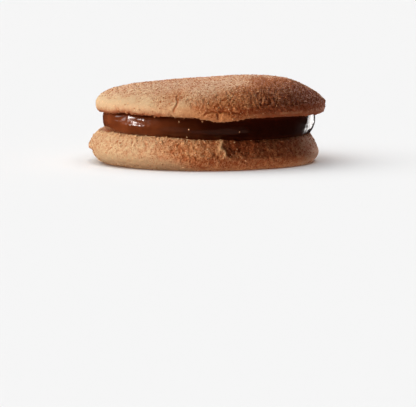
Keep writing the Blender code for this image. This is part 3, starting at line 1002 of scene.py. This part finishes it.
# -------- node trees
class Shading:
    """A material, with short calls for its nodes."""

    def __init__(self, name, roughness, specular):
        self.material = bpy.data.materials.new(name)
        self.material.use_nodes = True
        self.tree = self.material.node_tree
        self.shader = self.tree.nodes["Principled BSDF"]
        self.put("Roughness", roughness)
        self.put("Specular IOR Level", specular)
        self.place = self.tree.nodes.new("ShaderNodeTexCoord").outputs["Object"]

    def set(self, socket, value):
        """Links another socket to this one, or gives it a plain value."""
        if isinstance(value, bpy.types.NodeSocket):
            self.tree.links.new(value, socket)
        elif isinstance(value, tuple) and len(value) == 3 and socket.type == "RGBA":
            socket.default_value = (*value, 1.0)
        else:
            socket.default_value = value

    def put(self, name, value):
        """Sets an input of the material's shader."""
        self.set(self.shader.inputs[name], value)

    def node(self, kind, inputs, **settings):
        """The outputs of a new node."""
        node = self.tree.nodes.new("ShaderNode" + kind)
        for name, value in settings.items():
            setattr(node, name, value)
        for key, value in inputs.items():
            self.set(node.inputs[key], value)
        return node.outputs

    def noise(self, size, detail=2.0, roughness=0.5):
        """Noise, about 0.25 to 0.75, with features of this many millimetres."""
        inputs = {"Scale": 1.0 / (size * MM), "Detail": detail, "Roughness": roughness}
        return self.node("TexNoise", {"Vector": self.place, **inputs})["Fac"]

    def spots(self, size):
        """Distance to the nearest scattered spot, in parts of size in millimetres."""
        return self.node("TexVoronoi", {"Vector": self.place, "Scale": 1.0 / (size * MM)})["Distance"]

    def ramp(self, value, low, high, to_low=0.0, to_high=1.0):
        """value taken smoothly from low..high to to_low..to_high."""
        inputs = {"Value": value, "From Min": low, "From Max": high, "To Min": to_low, "To Max": to_high}
        return self.node("MapRange", inputs, interpolation_type="SMOOTHSTEP")["Result"]

    def math(self, operation, a, b):
        """The sum, "ADD", or the product, "MULTIPLY", of a and b."""
        return self.node("Math", {0: a, 1: b}, operation=operation)[0]

    def times(self, a, b):
        """The product of a and b."""
        return self.math("MULTIPLY", a, b)

    def mix(self, share, a, b):
        """Colour a with this share of colour b."""
        return self.node("Mix", {0: share, 6: a, 7: b}, data_type="RGBA")[2]

    def tint(self, colour, other, share, amount):
        """colour with this amount of the other where share is 1."""
        return self.mix(self.times(share, amount), colour, other)

    def stored(self, name):
        """The values that were kept for the mesh's vertices."""
        return self.node("Attribute", {}, attribute_name=name)["Fac"]

    def relief(self, height, distance, strength=1.0, below=None):
        """A fine relief, this many millimetres deep, on top of the one below."""
        inputs = {"Height": height, "Distance": distance * MM, "Strength": strength}
        if below:
            inputs["Normal"] = below
        return self.node("Bump", inputs)["Normal"]


# -------- colours, linear
UPPER_PALE = (0.49, 0.375, 0.243)
UPPER_TAN = (0.555, 0.405, 0.255)
LOWER_PALE = (0.435, 0.362, 0.228)
LOWER_TAN = (0.56, 0.405, 0.252)
# orange of the dough, also used for painted warm shade on the lower biscuit
AMBER = (0.68, 0.355, 0.145)
# reddish brown of patches and clouds, also used for painted shade in clefts and hollows
RUST = (0.34, 0.088, 0.024)
DARK_SPECK = (0.24, 0.075, 0.027)
LIGHT_GRAIN = (0.70, 0.52, 0.34)
CRUST = (0.33, 0.10, 0.033)
# painted shade in cracks and holes
CRACK = (0.30, 0.092, 0.028)
# dark brown of scorched specks and of painted shade
SCORCH = (0.22, 0.068, 0.027)
# reddish brown on the crown's right: painted shade, partly real browning
UMBER = (0.46, 0.26, 0.18)
DARK_GRAINS = ((0.41, 0.155, 0.062), (0.29, 0.090, 0.032))
PALE_GRAINS = (LIGHT_GRAIN, (0.62, 0.40, 0.22))
CARAMEL = ((0.13, 0.031, 0.010), (0.18, 0.045, 0.015))


# -------- materials
def dough_material(name, pale, tan):
    """Baked dough: pale where it is bare, brown and speckled where it is dusted."""
    s = Shading(name, 0.92, 0.15)
    s.put("Sheen Weight", 0.04)
    dust, rust = s.stored("dust"), s.stored("rust")
    mottle = s.noise(0.9, 3.0, 0.6)
    fine = s.noise(0.30, 2.0, 0.6)
    colour = s.mix(s.ramp(mottle, 0.35, 0.65, 0.0, 0.5), pale, tan)
    colour = s.tint(colour, tan, dust, 0.7)
    # orange dough, and painted warm shade on the lower biscuit
    colour = s.tint(colour, AMBER, s.stored("amber"), 0.62)
    cloud = s.ramp(s.noise(4.5, 3.0), 0.45, 0.62)
    colour = s.tint(colour, RUST, s.times(cloud, dust), 0.22)
    blotch = s.ramp(s.noise(1.7, 4.0, 0.68), 0.44, 0.56, 0.35, 1.0)
    # reddish-brown blotches, and painted shade on the crown's right and in the hollows
    colour = s.tint(colour, RUST, s.times(blotch, rust), 0.95)
    # painted shade on the crown's right, partly real browning
    colour = s.tint(colour, UMBER, s.stored("umber"), 0.7)
    # scorched specks, and painted shade under the corner, in the hollows and the holes
    colour = s.tint(colour, SCORCH, s.stored("scorch"), 0.65)
    # painted shade in the clefts, stronger where dusted
    colour = s.tint(colour, RUST, s.stored("cleft"), s.ramp(dust, 0.0, 1.0, 0.08, 0.42))
    speck = s.ramp(s.math("ADD", fine, s.times(rust, 0.05)), 0.55, 0.64)
    colour = s.tint(colour, DARK_SPECK, speck, s.ramp(dust, 0.0, 1.0, 0.12, 0.9))
    light = s.ramp(s.noise(0.42, 1.0, 0.5), 0.36, 0.27)
    colour = s.tint(colour, LIGHT_GRAIN, light, 0.5)
    colour = s.tint(colour, CRUST, s.stored("crust"), 0.85)
    # painted shade in cracks, holes, hollows and the gap under the flake
    colour = s.tint(colour, CRACK, s.stored("crack"), 0.85)
    s.put("Base Color", colour)
    grain = s.relief(fine, 0.20)
    grain = s.relief(s.ramp(s.spots(0.42), 0.6, 0.0), 0.05, 1.0, grain)
    grain = s.relief(mottle, 0.12, 1.0, grain)
    s.put("Normal", grain)
    return s.material


def grain_material(name, first, second):
    """Loose grains, no two quite alike."""
    s = Shading(name, 0.85, 0.1)
    s.put("Base Color", s.mix(s.ramp(s.noise(0.8, 2.0), 0.35, 0.65), first, second))
    s.put("Roughness", s.ramp(s.noise(0.5), 0.3, 0.7, 0.7, 0.95))
    s.put("Normal", s.relief(s.noise(0.12, 2.0), 0.05))
    return s.material


def crumb_material():
    """Crumbs of dough, from pale to browned."""
    s = Shading("crumbs", 0.92, 0.06)
    colour = s.mix(s.ramp(s.noise(1.6, 2.0), 0.38, 0.62, 0.0, 0.5), LOWER_TAN, AMBER)
    colour = s.mix(s.ramp(s.noise(0.5, 3.0, 0.6), 0.52, 0.66, 0.0, 0.8), colour, RUST)
    s.put("Base Color", colour)
    s.put("Normal", s.relief(s.noise(0.25, 2.0), 0.12))
    return s.material


def caramel_material():
    """Dark, glossy caramel."""
    s = Shading("caramel", 0.16, 0.5)
    s.put("Base Color", s.mix(s.ramp(s.noise(4.0, 2.0), 0.3, 0.7), *CARAMEL))
    s.put("Roughness", s.ramp(s.noise(1.5, 3.0), 0.3, 0.7, 0.09, 0.18))
    s.put("Normal", s.relief(s.noise(0.9, 2.0), 0.02, 0.6))
    return s.material


# -------- studio
MIDDLE = Vector((0.0, 0.0, 0.5 * (cad_bounds[0].z + cad_bounds[1].z)))
LENS = 181.6  # millimetres, for a sensor 36 wide
CAMERA_DISTANCE = 0.55
CAMERA_ELEVATION = 5.5
CAMERA_TARGET = Vector((0.0002, 0.0, -0.0113))
FLOOR_RADIUS = 4.0
FLOOR_CORNERS = 96
SUN_POWER = 3.82
SUN_SPREAD = 110.0
DOME_RADIUS = 3.9
DOME_START = -0.3  # radians over the horizon
DOME_ROWS = 24
DOME_COLUMNS = 48
DOME_BRIGHTNESS = 0.92

SOFTBOX_DISTANCE = 1.2
MATT = {"in_gloss": False}  # a softbox that gives light but no reflection
GLOSS = {"in_diffuse": False}  # a reflection alone
SOFTBOXES = (
    # name, azimuth, elevation, (width, height), power, colour, things lit, kinds of light
    ("key_light", 66.0, 20.0, (0.42, 0.60), 15.0, (1.0, 0.82, 0.66), lit_dough, MATT),
    ("caramel_key", 84.0, 20.0, (0.42, 0.60), 15.6, (1.0, 0.85, 0.70), lit_caramel, MATT),
    ("side_light", 90.0, 33.0, (0.42, 0.60), 10.5, (0.98, 1.0, 0.96), lit, MATT),
    ("highlight", 83.0, 12.0, (0.15, 0.26), 3.6, (1.0, 1.0, 0.98), lit, GLOSS),
    ("left_reflector", 106.0, 10.0, (0.28, 0.20), 0.5, (0.9, 0.97, 1.0), lit, GLOSS),
    ("warm_bounce", 10.0, -30.0, (1.2, 0.7), 6.3, (1.0, 0.53, 0.40), lit_dough, MATT),
    ("band_bounce", 8.0, -31.0, (2.2, 0.7), 1.3, (1.0, 0.56, 0.42), lit_caramel, {}),
    ("low_bounce", 28.0, -38.0, (0.9, 0.6), 2.3, (1.0, 0.66, 0.50), lit_dough, MATT),
    ("left_bounce", 62.0, -42.0, (0.8, 0.6), 0.9, (1.0, 0.90, 0.78), lit_dough, MATT),
    ("right_bounce", 260.0, -15.0, (0.8, 0.6), 1.6, (1.0, 0.66, 0.52), lit_dough, MATT),
    ("rim_light", 202.0, 10.0, (0.9, 1.6), 11.0, (1.0, 0.92, 0.90), lit, MATT),
    ("rim_reflection", 213.0, 10.0, (0.40, 1.5), 8.5, (1.0, 0.96, 0.94), lit, {**GLOSS, "roll": -15.0}),
    ("rim_fill", 212.0, 10.0, (0.9, 1.6), 14.0, (1.0, 0.52, 0.55), lit_dough, MATT),
    ("back_light", 180.0, 45.0, (1.2, 0.8), 10.0, (1.0, 0.95, 0.96), lit, MATT),
    ("top_rim_light", 182.0, 18.0, (1.2, 0.5), 8.0, (0.92, 0.97, 1.0), lit_dough, {}),
)


def stage_object(name, points, faces, material, *hidden_from):
    """A piece of the studio that isn't seen by these kinds of rays."""
    mesh = bpy.data.meshes.new(name)
    mesh.from_pydata(points, [], faces)
    mesh.materials.append(material)
    obj = in_scene(name, mesh)
    for rays in hidden_from:
        setattr(obj, "visible_" + rays, False)
    return obj


def in_scene(name, data):
    """A new object in the scene with this data."""
    obj = bpy.data.objects.new(name, data)
    bpy.context.scene.collection.objects.link(obj)
    return obj


def aimed(obj, azimuth, elevation, distance, target):
    """Puts obj at a distance from target, facing it. Azimuth 0 is in front, and 90 is on the left."""
    a, e = math.radians(azimuth), math.radians(elevation)
    back = Vector((-math.sin(a) * math.cos(e), -math.cos(a) * math.cos(e), math.sin(e)))
    obj.location = target + back * distance
    obj.rotation_euler = (-back).to_track_quat("-Z", "Y").to_euler()


def softbox(name, azimuth, elevation, size, power, colour, on, in_gloss=True, in_diffuse=True, roll=0.0):
    """A rectangular soft light on the alfajor alone. roll turns it round its own line to the alfajor."""
    data = bpy.data.lights.new(name, "AREA")
    data.shape = "RECTANGLE"
    data.size, data.size_y = size
    data.energy = power
    data.color = colour
    obj = in_scene(name, data)
    aimed(obj, azimuth, elevation, SOFTBOX_DISTANCE, MIDDLE)
    obj.rotation_euler.rotate_axis("Z", math.radians(roll))
    obj.visible_camera = False
    obj.visible_glossy = in_gloss
    obj.visible_diffuse = in_diffuse
    obj.light_linking.receiver_collection = on


def camera():
    """The camera, in front and a little above, aimed below the alfajor."""
    data = bpy.data.cameras.new("camera")
    data.lens = LENS
    data.sensor_width = 36.0
    data.clip_end = 10.0
    obj = in_scene("camera", data)
    elevation = math.radians(CAMERA_ELEVATION)
    obj.location = (0.0, -CAMERA_DISTANCE * math.cos(elevation), CAMERA_DISTANCE * math.sin(elevation))
    obj.rotation_euler = (CAMERA_TARGET - obj.location).to_track_quat("-Z", "Y").to_euler()
    bpy.context.scene.camera = obj


def floor():
    """A plain pale floor, which throws no light back up."""
    turns = np.linspace(0.0, 2.0 * np.pi, FLOOR_CORNERS, endpoint=False)
    edge = [(FLOOR_RADIUS * math.cos(t), FLOOR_RADIUS * math.sin(t), 0.0) for t in turns]
    s = Shading("pale_floor", 0.8, 0.0)
    s.put("Base Color", (0.8, 0.8, 0.8))
    faces = [list(range(FLOOR_CORNERS))]
    obj = stage_object("floor", edge, faces, s.material, "diffuse", "glossy", "shadow")
    floor_sun(obj)


def floor_sun(ground):
    """A soft sun that lights the floor alone."""
    lit_ground = bpy.data.collections.new("lit_by_sun")
    lit_ground.objects.link(ground)
    data = bpy.data.lights.new("floor_sun", "SUN")
    data.energy = SUN_POWER
    data.angle = math.radians(SUN_SPREAD)
    sun = in_scene("floor_sun", data)
    aimed(sun, 75.0, 70.0, 1.0, MIDDLE)
    sun.light_linking.receiver_collection = lit_ground


def world():
    """A very weak warm light from all round."""
    data = bpy.data.worlds.new("studio")
    bpy.context.scene.world = data
    data.use_nodes = True
    shader = data.node_tree.nodes["Background"]
    shader.inputs["Color"].default_value = (0.9, 0.85, 0.8, 1.0)
    shader.inputs["Strength"].default_value = 0.01


def dome():
    """Points and faces of a dome from just below the horizon up to its top."""
    points, faces = [], []
    for row in range(DOME_ROWS + 1):
        up = DOME_START + (math.pi / 2.0 - DOME_START) * row / DOME_ROWS
        for column in range(DOME_COLUMNS):
            turn = 2.0 * math.pi * column / DOME_COLUMNS
            out = DOME_RADIUS * math.cos(up)
            points.append((out * math.cos(turn), out * math.sin(turn), DOME_RADIUS * math.sin(up)))
    for row in range(DOME_ROWS):
        low, high = row * DOME_COLUMNS, (row + 1) * DOME_COLUMNS
        for column in range(DOME_COLUMNS):
            ahead = (column + 1) % DOME_COLUMNS
            faces.append([low + column, low + ahead, high + ahead, high + column])
    return points, faces


def backdrop():
    """A bright dome all round, for the camera alone."""
    s = Shading("white_backdrop", 1.0, 0.0)
    s.put("Base Color", (0.0, 0.0, 0.0))
    s.put("Emission Color", (1.0, 1.0, 1.0))
    s.put("Emission Strength", DOME_BRIGHTNESS)
    stage_object("backdrop", *dome(), s.material, "diffuse", "glossy", "transmission", "shadow")


# -------- the whole
GRAIN_SHAPE = {"flatness": 0.7, "sunk": 0.35, "roughness": 0.3}
CRUMB_SHAPE = {"rounds": 1, "flatness": 0.8, "sunk": 0.5, "roughness": 0.28}
DARK_SIZES = (0.14 * MM, 0.37 * MM, 1.8)  # (smallest, largest, rarity of large ones)
PALE_SIZES = (0.14 * MM, 0.40 * MM, 1.8)
CRUMB_SIZES = (0.20 * MM, 0.75 * MM, 2.2)


def dough_piece(mesh, material):
    """Something of dough: a biscuit, grains or crumbs."""
    obj = piece(mesh, material)
    lit_dough.objects.link(obj)
    return obj


def loose_grains(mesh, side, dark_count, pale_count):
    """Dark grains where a biscuit is dusted, denser on the painted shade of the crown's right and in the
    hollows, and pale ones where it is barer.
    """
    bare = 1.0 - stored(mesh, "crust")
    dust = stored(mesh, "grains") * bare
    dark = dust**1.5 + 0.04 * bare
    pale = bare * np.clip(1.2 - 0.35 * dust, 0.15, 1.0)
    for name, share, count, sizes, seed, material in (
        ("_dark_grains", dark, dark_count, DARK_SIZES, SEED, dark_grain),
        ("_pale_grains", pale, pale_count, PALE_SIZES, SEED + 1, pale_grain),
    ):
        dough_piece(scattered(mesh, side + name, share, count, sizes, seed, **GRAIN_SHAPE), material)


def edge_crumbs(mesh, side, share, count):
    """Crumbs along the edge of one biscuit."""
    name = side + "_edge_crumbs"
    dough_piece(scattered(mesh, name, share, count, CRUMB_SIZES, SEED + 2, **CRUMB_SHAPE), crumb)


camera()
floor()
backdrop()
world()
for *entries, kinds in SOFTBOXES:
    softbox(*entries, **kinds)

upper = upper_biscuit()
lower = lower_biscuit()
upper_piece = dough_piece(upper, dough_material("upper_dough", UPPER_PALE, UPPER_TAN))
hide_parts("upper_biscuit")
lower_piece = dough_piece(lower, dough_material("lower_dough", LOWER_PALE, LOWER_TAN))
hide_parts("lower_biscuit")
dark_grain = grain_material("dark_grains", *DARK_GRAINS)
pale_grain = grain_material("pale_grains", *PALE_GRAINS)
crumb = crumb_material()
loose_grains(upper, "upper", dark_count=9000, pale_count=1600)
loose_grains(lower, "lower", dark_count=3200, pale_count=900)
edge_crumbs(upper, "upper", hanging_edge(upper), count=110)
edge_crumbs(lower, "lower", shoulder_edge(lower), count=420)
filling = piece(caramel(), caramel_material())
lit_caramel.objects.link(filling)
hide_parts("filling")
dough_piece(crumbs_on_caramel(filling.data, "caramel_crumbs", 22, SEED + 3), pale_grain)

bpy.context.scene.view_settings.view_transform = "Standard"
